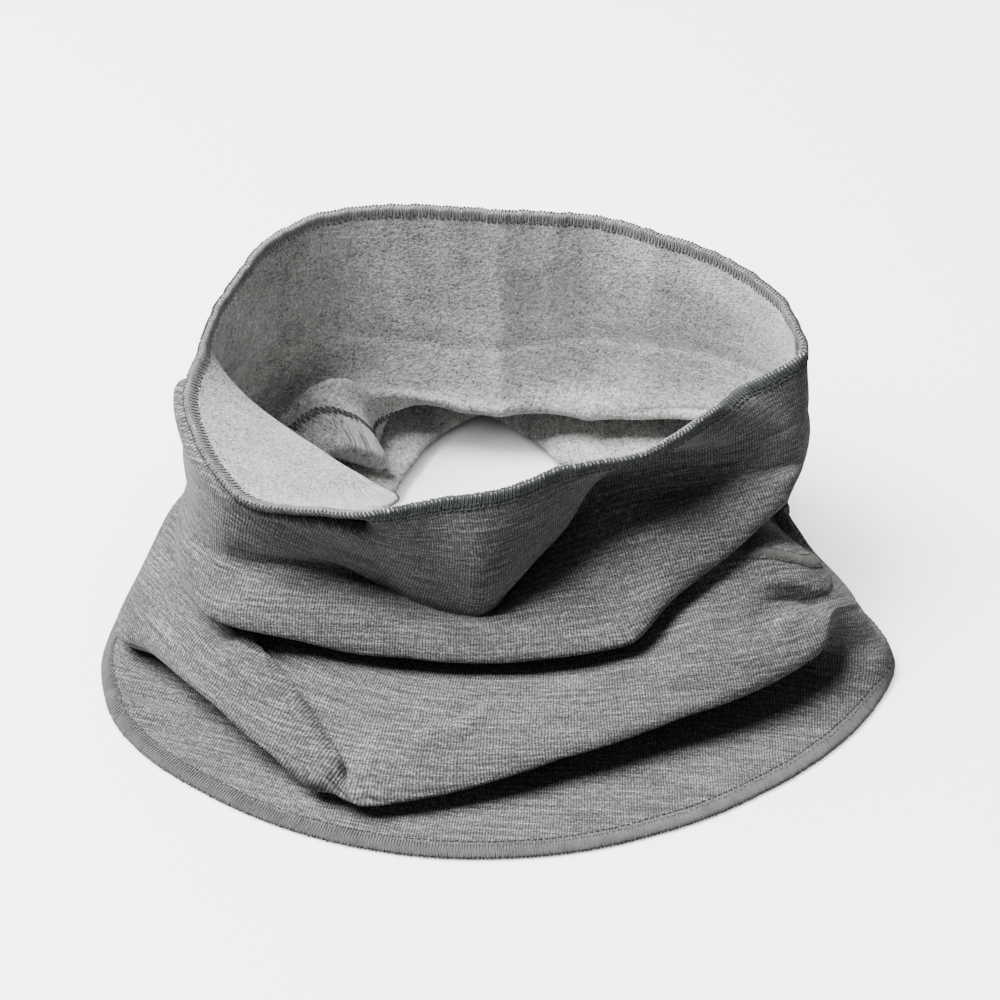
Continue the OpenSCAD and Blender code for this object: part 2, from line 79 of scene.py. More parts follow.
# The cloth's middle surface is a loft through these rings, from the rim down to the hem, as in the
# CAD part. Each ring is a list of (compass angle, distance from the centre, height), and closes on itself.
# Not all of these numbers were chosen by hand: a helper script moved some of them.
RINGS = [
    # rim edge
    [(0, 91, 100), (15, 80, 100), (35, 64, 101), (70, 52, 101), (90, 50, 101), (108, 55, 101),
     (123, 64, 101), (142, 80, 100), (156, 86, 99), (168, 87, 98), (181, 92, 96), (190, 96, 93),
     (200, 104, 90), (211, 106, 85), (221, 106, 80), (225, 103, 78), (232, 93, 77), (241, 87, 78),
     (249, 80, 80), (257, 74, 81), (270, 70, 82), (286, 64, 84), (297, 67, 85), (306, 73, 87),
     (323, 77, 91), (337, 80, 90), (345, 92, 93), (348, 99, 96), (353, 94, 99)],
    # inward flap on the left, plain wall elsewhere
    [(0, 92, 84), (15, 80, 84), (35, 63, 82), (70, 51, 80), (90, 49, 80), (108, 54, 80), (123, 62, 80),
     (142, 78, 80), (156, 83, 78), (170, 87, 75), (180, 92, 75), (186, 92, 73), (188, 87, 72),
     (191, 81, 68), (194, 74, 64), (202, 63, 58), (213, 54, 52), (226, 48, 48), (230, 51, 50),
     (236, 62, 59), (241, 83, 72), (249, 81, 72), (257, 77, 71), (266, 76, 70), (279, 69, 74),
     (287, 65, 77), (296, 65, 80), (307, 72, 84), (326, 78, 87), (340, 88, 86), (347, 99, 90),
     (353, 96, 88)],
    # collar just under the rim
    [(0, 95, 70), (15, 84, 68), (35, 64, 66), (70, 52, 62), (90, 48, 60), (108, 53, 60), (123, 60, 62),
     (142, 76, 64), (156, 84, 64), (170, 90, 62), (180, 97, 70), (186, 101, 77), (192, 104, 84),
     (200, 106, 85), (211, 107, 81), (221, 104, 76), (226, 99, 73), (231, 92, 72), (237, 87, 70),
     (241, 84, 67), (247, 81, 64), (256, 78, 60), (266, 79, 57), (280, 68, 63), (288, 63, 67),
     (298, 60, 73), (308, 64, 79), (318, 72, 82), (329, 81, 82), (340, 93, 80), (347, 100, 82),
     (353, 98, 76)],
    # front drape, ridge
    [(0, 98, 62), (15, 86, 58), (35, 66, 54), (70, 51, 48), (90, 46, 45), (108, 51, 45), (123, 58, 48),
     (142, 74, 52), (156, 84, 54), (170, 92, 54), (180, 99, 60), (190, 103, 67), (200, 105, 72),
     (206, 107, 73), (211, 108, 73), (218, 107, 71), (226, 98, 71), (230, 93, 68), (234, 88, 63),
     (237, 84, 58), (242, 80, 54), (250, 79, 48), (256, 78, 44), (261, 77, 40), (266, 78, 38),
     (270, 74, 42), (280, 65, 49), (291, 59, 55), (298, 55, 60), (305, 54, 66), (312, 57, 71),
     (323, 66, 73), (332, 84, 73), (340, 97, 76), (347, 101, 74), (353, 99, 68)],
    # front drape, lip
    [(0, 99, 54), (15, 87, 50), (35, 66, 45), (70, 50, 40), (90, 45, 38), (108, 49, 38), (123, 56, 40),
     (142, 72, 42), (156, 84, 44), (170, 93, 46), (180, 99, 48), (190, 104, 58), (200, 106, 61),
     (206, 107, 61), (211, 109, 61), (218, 108, 60), (224, 99, 59), (230, 88, 55), (235, 80, 46),
     (243, 74, 37), (254, 74, 32), (261, 74, 30), (267, 72, 30), (272, 63, 36), (280, 56, 42),
     (291, 52, 49), (302, 48, 55), (309, 50, 60), (316, 57, 64), (324, 67, 66), (332, 84, 68),
     (340, 100, 70), (347, 102, 66), (353, 100, 60)],
    # valley behind the drape
    [(0, 99, 48), (15, 87, 44), (35, 65, 38), (70, 49, 34), (90, 43, 32), (108, 47, 32), (123, 54, 34),
     (142, 70, 36), (156, 84, 38), (170, 94, 41), (180, 100, 43), (190, 103, 48), (200, 106, 52),
     (206, 109, 53), (211, 112, 53), (218, 108, 52), (224, 95, 51), (230, 83, 47), (235, 74, 40),
     (244, 70, 35), (254, 68, 32), (262, 68, 31), (267, 66, 31), (272, 60, 35), (280, 53, 40),
     (290, 49, 45), (300, 49, 51), (307, 53, 55), (314, 60, 59), (322, 71, 61), (331, 87, 63),
     (340, 101, 63), (347, 102, 60), (353, 100, 53)],
    # second tier, middle
    [(0, 98, 43), (15, 86, 40), (35, 63, 32), (70, 47, 29), (90, 41, 27), (108, 44, 27), (123, 52, 29),
     (142, 66, 32), (156, 78, 36), (170, 93, 37), (180, 101, 39), (190, 103, 43), (200, 109, 46),
     (206, 113, 47), (211, 116, 47), (218, 114, 47), (225, 107, 46), (232, 98, 43), (240, 92, 40),
     (250, 87, 37), (262, 85, 35), (272, 84, 36), (282, 80, 38), (292, 77, 40), (300, 76, 45),
     (310, 77, 53), (319, 84, 57), (330, 95, 61), (338, 102, 62), (347, 101, 55), (353, 99, 48)],
    # second tier, lower fold
    [(0, 96, 40), (15, 85, 36), (35, 60, 27), (50, 48, 24), (70, 43, 23), (90, 38, 23), (108, 41, 24),
     (123, 49, 27), (142, 63, 31), (156, 71, 38), (170, 92, 36), (180, 102, 36), (190, 105, 38),
     (200, 111, 40), (206, 115, 39), (212, 118, 37), (221, 120, 38), (225, 117, 38), (228, 113, 37),
     (234, 106, 35), (242, 99, 31), (252, 93, 30), (266, 91, 30), (279, 91, 31), (290, 93, 32),
     (296, 95, 33), (300, 93, 36), (306, 90, 39), (313, 91, 43), (320, 95, 49), (328, 99, 55),
     (334, 102, 56), (338, 100, 55), (347, 97, 50), (353, 95, 44)],
    # tuck under the second tier
    [(0, 89, 36), (15, 82, 33), (35, 60, 24), (50, 49, 21), (70, 46, 20), (90, 41, 20), (108, 44, 21),
     (123, 52, 24), (138, 60, 27), (142, 60, 33), (146, 64, 40), (151, 68, 43), (157, 74, 40),
     (163, 78, 36), (170, 88, 32), (180, 101, 33), (190, 103, 34), (200, 105, 34), (209, 106, 31),
     (216, 107, 29), (221, 106, 28), (225, 103, 27), (230, 96, 28), (239, 90, 27), (253, 81, 26),
     (266, 78, 26), (279, 78, 27), (290, 78, 28), (300, 78, 32), (306, 77, 35), (313, 79, 39),
     (320, 81, 44), (328, 86, 49), (335, 90, 46), (345, 87, 40), (353, 88, 36)],
    # ring seam between the two panels
    [(0, 94, 28), (15, 88, 30), (35, 68, 22), (50, 60, 19), (70, 56, 19), (90, 50, 18), (108, 54, 19),
     (123, 58, 20), (140, 60, 18), (146, 56, 18), (150, 52, 22), (154, 54, 31), (156, 63, 38),
     (158, 70, 35), (164, 77, 29), (170, 86, 28), (180, 100, 30), (190, 105, 31), (200, 107, 31),
     (209, 107, 28), (216, 106, 26), (221, 104, 25), (225, 100, 25), (230, 92, 25), (240, 85, 24),
     (253, 76, 20), (266, 73, 20), (279, 73, 21), (289, 74, 22), (299, 75, 26), (305, 76, 30),
     (313, 80, 36), (320, 89, 42), (325, 99, 45), (328, 107, 43), (330, 114, 39), (332, 116, 37),
     (336, 106, 33), (340, 99, 29), (345, 94, 26), (353, 92, 26)],
    # third tier, middle
    [(0, 97, 24), (15, 94, 28), (35, 82, 28), (70, 76, 30), (90, 74, 30), (108, 75, 29), (123, 70, 22),
     (138, 60, 10), (146, 55, 9), (152, 46, 11), (156, 45, 17), (159, 52, 23), (163, 62, 22),
     (168, 70, 19), (172, 88, 20), (180, 104, 24), (190, 112, 28), (200, 119, 29), (209, 126, 28),
     (216, 126, 27), (221, 123, 26), (228, 115, 25), (236, 108, 25), (245, 104, 23), (255, 102, 22),
     (266, 100, 23), (279, 99, 23), (289, 98, 24), (299, 99, 26), (308, 103, 31), (316, 108, 33),
     (322, 113, 33), (327, 119, 31), (331, 123, 30), (335, 116, 30), (340, 106, 27), (350, 98, 24)],
    # third tier, outer fold
    [(0, 98, 20), (15, 98, 20), (35, 98, 22), (70, 94, 24), (90, 92, 24), (108, 94, 22), (123, 92, 15),
     (142, 86, 11), (156, 92, 12), (170, 104, 14), (180, 108, 16), (190, 114, 15), (198, 126, 14),
     (207, 142, 13), (211, 136, 17), (215, 134, 19), (221, 133, 20), (228, 132, 19), (235, 133, 15),
     (244, 134, 11), (249, 136, 10), (252, 138, 9), (256, 134, 10), (263, 128, 11), (270, 123, 13),
     (279, 118, 15), (291, 116, 16), (299, 117, 18), (310, 122, 19), (319, 127, 21), (323, 130, 24),
     (326, 126, 29), (329, 126, 28), (332, 132, 22), (335, 128, 20), (341, 110, 22), (350, 98, 22)],
    # inner fold round the floor opening
    [(0, 60, 5), (30, 46, 5), (57, 39, 4), (81, 50, 4), (96, 62, 4), (116, 52, 5), (135, 44, 5),
     (158, 40, 5), (172, 52, 5), (186, 80, 6), (198, 112, 6), (207, 134, 6), (214, 122, 5),
     (221, 114, 5), (236, 108, 4), (253, 107, 4), (270, 97, 4), (289, 93, 4), (305, 97, 5),
     (318, 106, 7), (323, 112, 8), (327, 126, 12), (331, 138, 14), (335, 134, 12), (341, 108, 8),
     (350, 74, 6)],
    # skirt, middle
    [(0, 84, 4), (30, 76, 4), (60, 72, 3), (90, 80, 3), (120, 78, 3), (158, 74, 4), (175, 84, 4),
     (190, 104, 4), (200, 126, 5), (207, 141, 5), (214, 138, 4), (221, 134, 3), (236, 129, 3),
     (253, 128, 3), (270, 122, 3), (289, 119, 3), (305, 121, 3), (318, 126, 4), (326, 137, 6),
     (331, 143, 9), (335, 139, 7), (341, 124, 5), (350, 90, 4)],
    # hem edge
    [(0, 100, 1), (15, 102, 1), (35, 106, 1), (60, 104, 1), (90, 98, 1), (120, 103, 1), (145, 108, 1),
     (165, 111, 1), (180, 114, 1), (192, 124, 1), (200, 137, 1), (207, 146, 2), (211, 149, 1),
     (216, 152, 1), (221, 152, 1), (226, 151, 1), (232, 149, 1), (243, 147, 1), (255, 145, 1),
     (270, 143, 1), (289, 142, 1), (304, 143, 1), (315, 145, 1), (321, 146, 1), (329, 146, 1),
     (333, 145, 2), (338, 136, 1), (345, 117, 1), (352, 106, 1)],
]
SEAM_RING = 9

# Rows of the mesh between each ring and the next
ROWS = [10, 12, 8, 10, 8, 12, 12, 8, 8, 24, 26, 10, 14, 16]

# How sharply the cloth turns at each ring, from 0, a smooth bend, to 1, a crease
CRISP = [0, 0.2, 0.1, 0.75, 0.6, 0.2, 0, 0.45, 0.4, 0.2, 0, 0.5, 0.4, 0, 0]


# ---------------------------------------------------------------------------
# The cloth's middle surface
# ---------------------------------------------------------------------------

def ring_points(ring, angles):
    """Points of one ring at compass angles, its corners rounded."""
    table = np.array([(a + lap, r, z) for lap in (-360, 0, 360) for a, r, z in sorted(ring)], float)
    radius = np.zeros_like(angles)
    height = np.zeros_like(angles)
    for offset, share in ((-CORNER, 0.25), (0.0, 0.5), (CORNER, 0.25)):
        at = np.mod(angles + offset, 360)
        radius += share * np.interp(at, table[:, 0], table[:, 1])
        height += share * np.interp(at, table[:, 0], table[:, 2])
    turn = np.radians(angles)
    return np.stack([CENTRE[0] + radius * np.cos(turn), CENTRE[1] + radius * np.sin(turn), height], -1)


def knot_gap(p, q):
    """Curve parameter between two knots: the root of their distance, so that close knots don't overshoot."""
    return np.sqrt(np.linalg.norm(q - p, axis=-1, keepdims=True)) + 0.001


def loft(ribs, rows):
    """Rows of points on a curve down the cloth through the rings; rows[g] per gap."""
    out = []
    last = len(ribs) - 1
    for g in range(last):
        p1, p2 = ribs[g], ribs[g + 1]
        p0 = ribs[g - 1] if g > 0 else 2 * p1 - p2
        p3 = ribs[g + 2] if g + 2 <= last else 2 * p2 - p1
        k01, k12, k23 = knot_gap(p0, p1), knot_gap(p1, p2), knot_gap(p2, p3)
        m1 = p2 - p1 + k12 * ((p1 - p0) / k01 - (p2 - p0) / (k01 + k12))
        m2 = p2 - p1 + k12 * ((p3 - p2) / k23 - (p3 - p1) / (k12 + k23))
        m1 += CRISP[g] * (p2 - p1 - m1)
        m2 += CRISP[g + 1] * (p2 - p1 - m2)
        for k in range(rows[g]):
            t = k / rows[g]
            out.append((2 * t**3 - 3 * t**2 + 1) * p1 + (t**3 - 2 * t**2 + t) * m1
                       + (3 * t**2 - 2 * t**3) * p2 + (t**3 - t**2) * m2)
    out.append(ribs[last])
    return np.array(out)


def normals_of(grid):
    """Unit normals out of the jersey face of a (rows, stations) grid that closes round the tube."""
    down = np.gradient(grid, axis=0)
    wrapped = np.concatenate([grid[:, -1:], grid, grid[:, :1]], axis=1)
    around = (wrapped[:, 2:] - wrapped[:, :-2]) / 2
    n = np.cross(down, around)
    return n / (np.linalg.norm(n, axis=-1, keepdims=True) + 1e-9)


def station_angles():
    """Compass angles of the stations, closer together at the front where the folds are."""
    fine = np.arange(0, 361)
    compass = np.mod(SIDE_SEAM + fine, 360)
    share = np.where((compass > FRONT[0]) & (compass < FRONT[1]), FRONT_SHARE, BACK_SHARE)
    share = np.cumsum((np.roll(share, SHARE_BLEND) + share + np.roll(share, -SHARE_BLEND)) / 3)
    share = (share - share[0]) / (share[-1] - share[0])
    return np.interp((np.arange(STATIONS) + 0.5) / STATIONS, share, fine)


turned = station_angles()
angles = SIDE_SEAM + turned
ribs = [ring_points(ring, angles) for ring in RINGS]
middle = loft(ribs, ROWS)
ring_row = np.concatenate([[0], np.cumsum(ROWS)])
seam_row = int(ring_row[SEAM_RING])
face_out = normals_of(middle)


# ---------------------------------------------------------------------------
# Lengths on the cloth, and its flat pattern
# ---------------------------------------------------------------------------

def lengths_down(grid, start_row):
    """Signed distance down the cloth from a row, for each row and station."""
    steps = np.linalg.norm(np.diff(grid, axis=0), axis=-1)
    run = np.concatenate([np.zeros((1, grid.shape[1])), np.cumsum(steps, axis=0)])
    return run - run[start_row]


CAGE_ROWS = 46              # size of the coarse grid that is laid flat
CAGE_COLS = 110
FLATTEN_ROUNDS = 30         # times that every cell is turned and the corners settled
SETTLE_STEPS = 90           # most steps in one settling
SETTLED = 1e-7              # remaining error at which a settling stops
UPPER_LEVEL_AT = 262        # compass angle at which the upper panel's courses run level
LOWER_LEVEL_AT = 242        # and the lower panel's

# The four corners of every cell of a grid, and the pairs of corners that its sides and diagonals join
FIRST = slice(None, -1)
NEXT = slice(1, None)
CORNERS = ((FIRST, FIRST), (FIRST, NEXT), (NEXT, NEXT), (NEXT, FIRST))
PAIRS = ((0, 1), (3, 2), (0, 3), (1, 2), (0, 2), (1, 3))


def flatten(grid, level_at):
    """Lays a panel out flat with as little stretch as it can, cut open at the side seam.

    Returns flat (x, y) in millimetres for each (row, station), turned so that the courses run along x
    at the station level_at. Each round turns every cell's own shape to fit, then settles the corners."""
    rows = np.unique(np.linspace(0, len(grid) - 1, CAGE_ROWS).astype(int))
    cols = np.unique(np.linspace(0, grid.shape[1] - 1, CAGE_COLS).astype(int))
    cage = grid[rows][:, cols]
    corner = [cage[c] for c in CORNERS]
    e1 = corner[1] - corner[0] + corner[2] - corner[3]
    e1 /= np.linalg.norm(e1, axis=-1, keepdims=True)
    fall = corner[3] - corner[0] + corner[2] - corner[1]
    e2 = fall - e1 * (fall * e1).sum(-1, keepdims=True)
    e2 /= np.linalg.norm(e2, axis=-1, keepdims=True)
    edges = [corner[q] - corner[p] for p, q in PAIRS]
    edges = [np.stack([(e * e1).sum(-1), (e * e2).sum(-1)], -1) for e in edges]

    # first guess: a sector of a ring, as wide at each end as the panel is round there
    top = np.linalg.norm(np.diff(cage[0], axis=0), axis=-1).sum()
    bottom = np.linalg.norm(np.diff(cage[-1], axis=0), axis=-1).sum()
    drop = np.linalg.norm(np.diff(cage, axis=0), axis=-1).sum(0).mean()
    spread = max((bottom - top) / drop, 0.05)
    v = np.linspace(0, drop, len(rows))[:, None]
    phi = (np.linspace(0, 1, len(cols))[None, :] - 0.5) * spread
    flat = np.stack([(top / spread + v) * np.sin(phi), (top / spread + v) * np.cos(phi)], -1)

    def settle(x):
        y = np.zeros_like(x)
        for p, q in PAIRS:
            d = x[CORNERS[q]] - x[CORNERS[p]]
            y[CORNERS[q]] += d
            y[CORNERS[p]] -= d
        return y

    for _ in range(FLATTEN_ROUNDS):
        dot, cross = 0.0, 0.0
        for (p, q), e in zip(PAIRS, edges):
            w = flat[CORNERS[q]] - flat[CORNERS[p]]
            dot = dot + e[..., 0] * w[..., 0] + e[..., 1] * w[..., 1]
            cross = cross + e[..., 0] * w[..., 1] - e[..., 1] * w[..., 0]
        turn = np.arctan2(cross, dot)
        cos, sin = np.cos(turn), np.sin(turn)
        goal = np.zeros_like(flat)
        for (p, q), e in zip(PAIRS, edges):
            t = np.stack([cos * e[..., 0] - sin * e[..., 1], sin * e[..., 0] + cos * e[..., 1]], -1)
            goal[CORNERS[q]] += t
            goal[CORNERS[p]] -= t
        residual = goal - settle(flat)
        step = residual.copy()
        size = (residual**2).sum()
        for _ in range(SETTLE_STEPS):
            pushed = settle(step)
            share = size / ((step * pushed).sum() + 1e-12)
            flat = flat + share * step
            residual = residual - share * pushed
            fresh = (residual**2).sum()
            if fresh < SETTLED:
                break
            step = residual + fresh / size * step
            size = fresh

    # turn the pattern by the tilt of its courses at level_at
    level_col = int(np.argmin(np.abs(cols - level_at)))
    run = flat[:, min(level_col + 3, len(cols) - 1)] - flat[:, max(level_col - 3, 0)]
    tilt = np.arctan2(run[:, 1].mean(), run[:, 0].mean())
    cos, sin = np.cos(-tilt), np.sin(-tilt)
    flat = np.stack([cos * flat[..., 0] - sin * flat[..., 1], sin * flat[..., 0] + cos * flat[..., 1]], -1)
    # back to every row and station
    by_col = np.stack([[np.interp(np.arange(grid.shape[1]), cols, flat[r, :, k]) for r in range(len(rows))]
                       for k in (0, 1)], -1)
    full = np.stack([[np.interp(np.arange(len(grid)), rows, by_col[:, c, k]) for c in range(grid.shape[1])]
                     for k in (0, 1)], -1)
    return full.transpose(1, 0, 2)


def station_of(angle):
    """Place of a compass angle among the stations, with its fraction."""
    return np.interp((angle - SIDE_SEAM) % 360, turned, np.arange(STATIONS))


upper_flat = flatten(middle[:seam_row + 1], station_of(UPPER_LEVEL_AT))
lower_flat = flatten(middle[seam_row:], station_of(LOWER_LEVEL_AT))


# ---------------------------------------------------------------------------
# Wrinkles, creases and pleats, pressed into the middle surface
# ---------------------------------------------------------------------------

def flat_place(flat, first_row, angle, ring):
    """Flat (x, y) of the point at a compass angle and a ring number such as 9.5."""
    at_row = np.interp(ring, np.arange(len(RINGS)), ring_row) - first_row
    r0 = int(np.clip(np.floor(at_row), 0, len(flat) - 2))
    c0 = int(np.clip(np.floor(station_of(angle)), 0, STATIONS - 2))
    fr, fc = at_row - r0, station_of(angle) - c0
    return ((flat[r0, c0] * (1 - fc) + flat[r0, c0 + 1] * fc) * (1 - fr)
            + (flat[r0 + 1, c0] * (1 - fc) + flat[r0 + 1, c0 + 1] * fc) * fr)


def press(first_row, flat, path, profile, ends=8.0):
    """Moves the cloth beside a path of (compass angle, ring number).

    profile is a list of (millimetres to the path's right, millimetres out of the jersey face,
    millimetres slid to the right); the effect fades out over the last ends millimetres."""
    rows = slice(first_row, first_row + len(flat))
    line = np.array([flat_place(flat, first_row, a, r) for a, r in path])
    course = np.array([flat_place(middle[rows], first_row, a, r) for a, r in path])
    steps = np.linalg.norm(np.diff(line, axis=0), axis=1)
    total = steps.sum()
    best = np.full(flat.shape[:2], 1e9)
    side = np.zeros_like(best)
    along = np.zeros_like(best)
    heading = np.zeros(flat.shape[:2] + (3,))
    done = 0.0
    for p, q, length, way in zip(line[:-1], line[1:], steps, np.diff(course, axis=0)):
        d = (q - p) / length
        to = flat - p
        t = np.clip(to @ d, 0, length)
        gap = np.linalg.norm(to - t[..., None] * d, axis=-1)
        nearer = gap < best
        best = np.where(nearer, gap, best)
        side = np.where(nearer, np.sign(d[0] * to[..., 1] - d[1] * to[..., 0]), side)
        along = np.where(nearer, done + t, along)
        heading = np.where(nearer[..., None], way / np.linalg.norm(way), heading)
        done += length
    profile = np.array([(*stroke, 0.0)[:3] for stroke in profile], float)
    fade = np.clip(np.minimum(along, total - along) / ends, 0, 1)
    fade *= fade * (3 - 2 * fade)
    across = best * side
    lift = np.interp(across, profile[:, 0], profile[:, 1], left=0, right=0) * fade
    slide = np.interp(across, profile[:, 0], profile[:, 2], left=0, right=0) * fade
    right = np.cross(heading, face_out[rows])
    middle[rows] += lift[..., None] * face_out[rows] + slide[..., None] * right


# third tier: a narrow fold whose right edge lies over the panel beside it
press(seam_row, lower_flat,
      [(222, 9.6), (229, 10.0), (237, 10.36), (243, 10.58), (247, 10.72), (250, 10.86)],
      [(-14, 0, 0), (-7, -0.8, 0.4), (-2.5, -1.6, 0.6), (-0.6, -1.4, -0.6), (1.2, 3.6, -3.4),
       (3.5, 4.4, -2.2), (8, 2.4, -0.6), (14, 0, 0)], 7)
# third tier: pinch in the middle
press(seam_row, lower_flat, [(268, 10.0), (262, 10.25), (256, 10.25)],
      [(-8, 0), (-3, 1.6), (0, -1.6), (5, 0)], 6)
# third tier: arched crease at the right end, with a soft hollow to its left
press(seam_row, lower_flat, [(319, 9.75), (322, 9.85), (325, 9.9), (327, 10.2), (328, 10.6)],
      [(-11, 0), (-5, 1.8), (0, -2.4), (4, -0.6), (8, 0.8), (13, 0)], 9)
press(seam_row, lower_flat, [(309, 9.9), (313, 10.0), (317, 10.15), (320, 10.35)],
      [(-10, 0), (0, -2.6), (10, 0)], 9)
# skirt: soft wrinkle on the left
press(seam_row, lower_flat, [(224, 12.6), (219, 13.05), (214, 13.4), (211, 13.7)],
      [(-9, 0), (-4, 1.6), (0, -1.2), (5, 1.0), (10, 0)], 8)

face_out = normals_of(middle)


# ---------------------------------------------------------------------------
# Mesh helpers
# ---------------------------------------------------------------------------

KNIT_MAP = "knit_mm"        # name of the flat pattern's coordinates on a panel


def add_object(name, verts_mm, faces, smooth=True):
    """A mesh object of corners in millimetres, linked to the scene."""
    mesh = bpy.data.meshes.new(name)
    mesh.from_pydata((np.asarray(verts_mm) * MM).tolist(), [], faces)
    mesh.validate()
    if smooth:
        mesh.polygons.foreach_set("use_smooth", [True] * len(mesh.polygons))
    mesh.update()
    obj = bpy.data.objects.new(name, mesh)
    bpy.context.scene.collection.objects.link(obj)
    return obj


def cloth_panel(name, first_row, last_row, thickness, flat):
    """A closed sheet between two rows: jersey outside, fleece inside, cut ends at the side seam."""
    grid = middle[first_row:last_row + 1]
    normal = face_out[first_row:last_row + 1]
    rows, cols = grid.shape[:2]
    # the strip starts and ends at the side seam, half a station either side of it
    edge_share = 0.5 - SEAM_SLIT / (2 * (turned[0] + 360 - turned[-1]))
    start = grid[:, 0] + (grid[:, -1] - grid[:, 0]) * edge_share
    end = grid[:, -1] + (grid[:, 0] - grid[:, -1]) * edge_share
    start_n = normal[:, 0] + (normal[:, -1] - normal[:, 0]) * edge_share
    end_n = normal[:, -1] + (normal[:, 0] - normal[:, -1]) * edge_share
    grid = np.concatenate([start[:, None], grid, end[:, None]], axis=1)
    normal = np.concatenate([start_n[:, None], normal, end_n[:, None]], axis=1)
    cols += 2
    half = thickness[first_row:last_row + 1, None, None] / 2
    outer = grid + half * normal
    inner = grid - half * normal
    verts = np.concatenate([outer.reshape(-1, 3), inner.reshape(-1, 3)])
    side = rows * cols
    idx = np.arange(side).reshape(rows, cols)
    a, b, c, d = idx[:-1, :-1], idx[:-1, 1:], idx[1:, 1:], idx[1:, :-1]
    jersey = np.stack([a, d, c, b], -1).reshape(-1, 4)
    fleece = jersey[:, ::-1] + side
    rim = np.stack([idx[0, :-1], idx[0, 1:], idx[0, 1:] + side, idx[0, :-1] + side], -1)
    hem = np.stack([idx[-1, 1:], idx[-1, :-1], idx[-1, :-1] + side, idx[-1, 1:] + side], -1)
    left = np.stack([idx[1:, 0], idx[:-1, 0], idx[:-1, 0] + side, idx[1:, 0] + side], -1)
    right = np.stack([idx[:-1, -1], idx[1:, -1], idx[1:, -1] + side, idx[:-1, -1] + side], -1)
    faces = np.concatenate([jersey, fleece, rim, hem, left, right])
    obj = add_object(name, verts, faces.tolist())
    slots = np.concatenate([np.zeros(len(jersey)), np.ones(len(faces) - len(jersey))]).astype(np.int32)
    obj.data.polygons.foreach_set("material_index", slots)
    # knit coordinates: the flat pattern in millimetres
    uv = np.concatenate([2 * flat[:, :1] - flat[:, 1:2], flat, 2 * flat[:, -1:] - flat[:, -2:-1]], axis=1)
    uv = np.concatenate([uv.reshape(-1, 2), uv.reshape(-1, 2)])
    layer = obj.data.uv_layers.new(name=KNIT_MAP)
    loop_vert = np.zeros(len(obj.data.loops), np.int32)
    obj.data.loops.foreach_get("vertex_index", loop_vert)
    layer.data.foreach_set("uv", uv[loop_vert].ravel())
    return obj


# ---------------------------------------------------------------------------
# Cloth-space frame for the stitches
# ---------------------------------------------------------------------------

class SeamLine:
    """Places points at (along, across, lift) beside one row of the cloth, in millimetres.

    along runs round the tube from the side seam, across runs down the cloth from the row, and lift
    stands out of the jersey face."""

    def __init__(self, row, reach=10.0):
        self.across = np.arange(-reach, reach + 0.01, 0.5)
        run = lengths_down(middle, row)
        cols = middle.shape[1]
        self.points = np.zeros((cols, len(self.across), 3))
        self.normals = np.zeros_like(self.points)
        for s in range(cols):
            for axis in range(3):
                self.points[s, :, axis] = np.interp(self.across, run[:, s], middle[:, s, axis])
                self.normals[s, :, axis] = np.interp(self.across, run[:, s], face_out[:, s, axis])
        if row == 0 or row == len(middle) - 1:
            self._extend(row)
        edge = middle[row]
        steps = np.linalg.norm(np.roll(edge, -1, axis=0) - edge, axis=-1)
        self.along = np.concatenate([[0.0], np.cumsum(steps)])
        self.length = self.along[-1]

    def _extend(self, row):
        """Past a cut edge the points run straight on."""
        sign = 1 if row == 0 else -1
        step = middle[row] - middle[row + sign]
        step /= np.linalg.norm(step, axis=-1, keepdims=True)
        for i, d in enumerate(self.across):
            if d * sign < 0:
                self.points[:, i] = middle[row] + step * abs(d)
                self.normals[:, i] = face_out[row]

    def place(self, path):
        """World points of an array of (along, across, lift)."""
        path = np.asarray(path, float)
        s = np.interp(np.mod(path[:, 0], self.length), self.along, np.arange(len(self.along)))
        d = np.interp(path[:, 1], self.across, np.arange(len(self.across)))
        cols = self.points.shape[0]
        s0 = np.floor(s).astype(int)
        fs = (s - s0)[:, None]
        d0 = np.minimum(np.floor(d).astype(int), len(self.across) - 2)
        fd = (d - d0)[:, None]
        s1 = (s0 + 1) % cols
        s0 = s0 % cols

        def blend(a):
            low = a[s0, d0] * (1 - fd) + a[s0, d0 + 1] * fd
            high = a[s1, d0] * (1 - fd) + a[s1, d0 + 1] * fd
            return low * (1 - fs) + high * fs

        return blend(self.points) + blend(self.normals) * path[:, 2:3]


def thread_tube(paths, radius):
    """Vertices and faces of round threads along open paths, with frames carried along each path."""
    verts, faces = [], []
    for path in paths:
        path = np.asarray(path, float)
        tangent = np.gradient(path, axis=0)
        tangent /= np.linalg.norm(tangent, axis=-1, keepdims=True) + 1e-9
        side = np.cross(tangent[0], (0.13, 0.29, 0.95))
        side /= np.linalg.norm(side)
        carried = [side]
        for i in range(1, len(path)):
            side = side - tangent[i] * np.dot(side, tangent[i])
            side /= np.linalg.norm(side) + 1e-9
            carried.append(side)
        side = np.array(carried)
        other = np.cross(tangent, side)
        turn = 2 * np.pi * np.arange(THREAD_SIDES) / THREAD_SIDES
        ring = (path[:, None] + radius * (np.cos(turn)[None, :, None] * side[:, None]
                                          + np.sin(turn)[None, :, None] * other[:, None]))
        base = sum(len(v) for v in verts)
        verts.append(ring.reshape(-1, 3))
        n = len(path)
        i = np.arange(n - 1)[:, None] * THREAD_SIDES
        j = np.arange(THREAD_SIDES)[None, :]
        k = (j + 1) % THREAD_SIDES
        quads = np.stack([i + j, i + k, i + THREAD_SIDES + k, i + THREAD_SIDES + j], -1)
        faces += (quads.reshape(-1, 4) + base).tolist()
        faces.append((base + np.arange(THREAD_SIDES)[::-1]).tolist())
        faces.append((base + (n - 1) * THREAD_SIDES + np.arange(THREAD_SIDES)).tolist())
    return np.concatenate(verts), faces


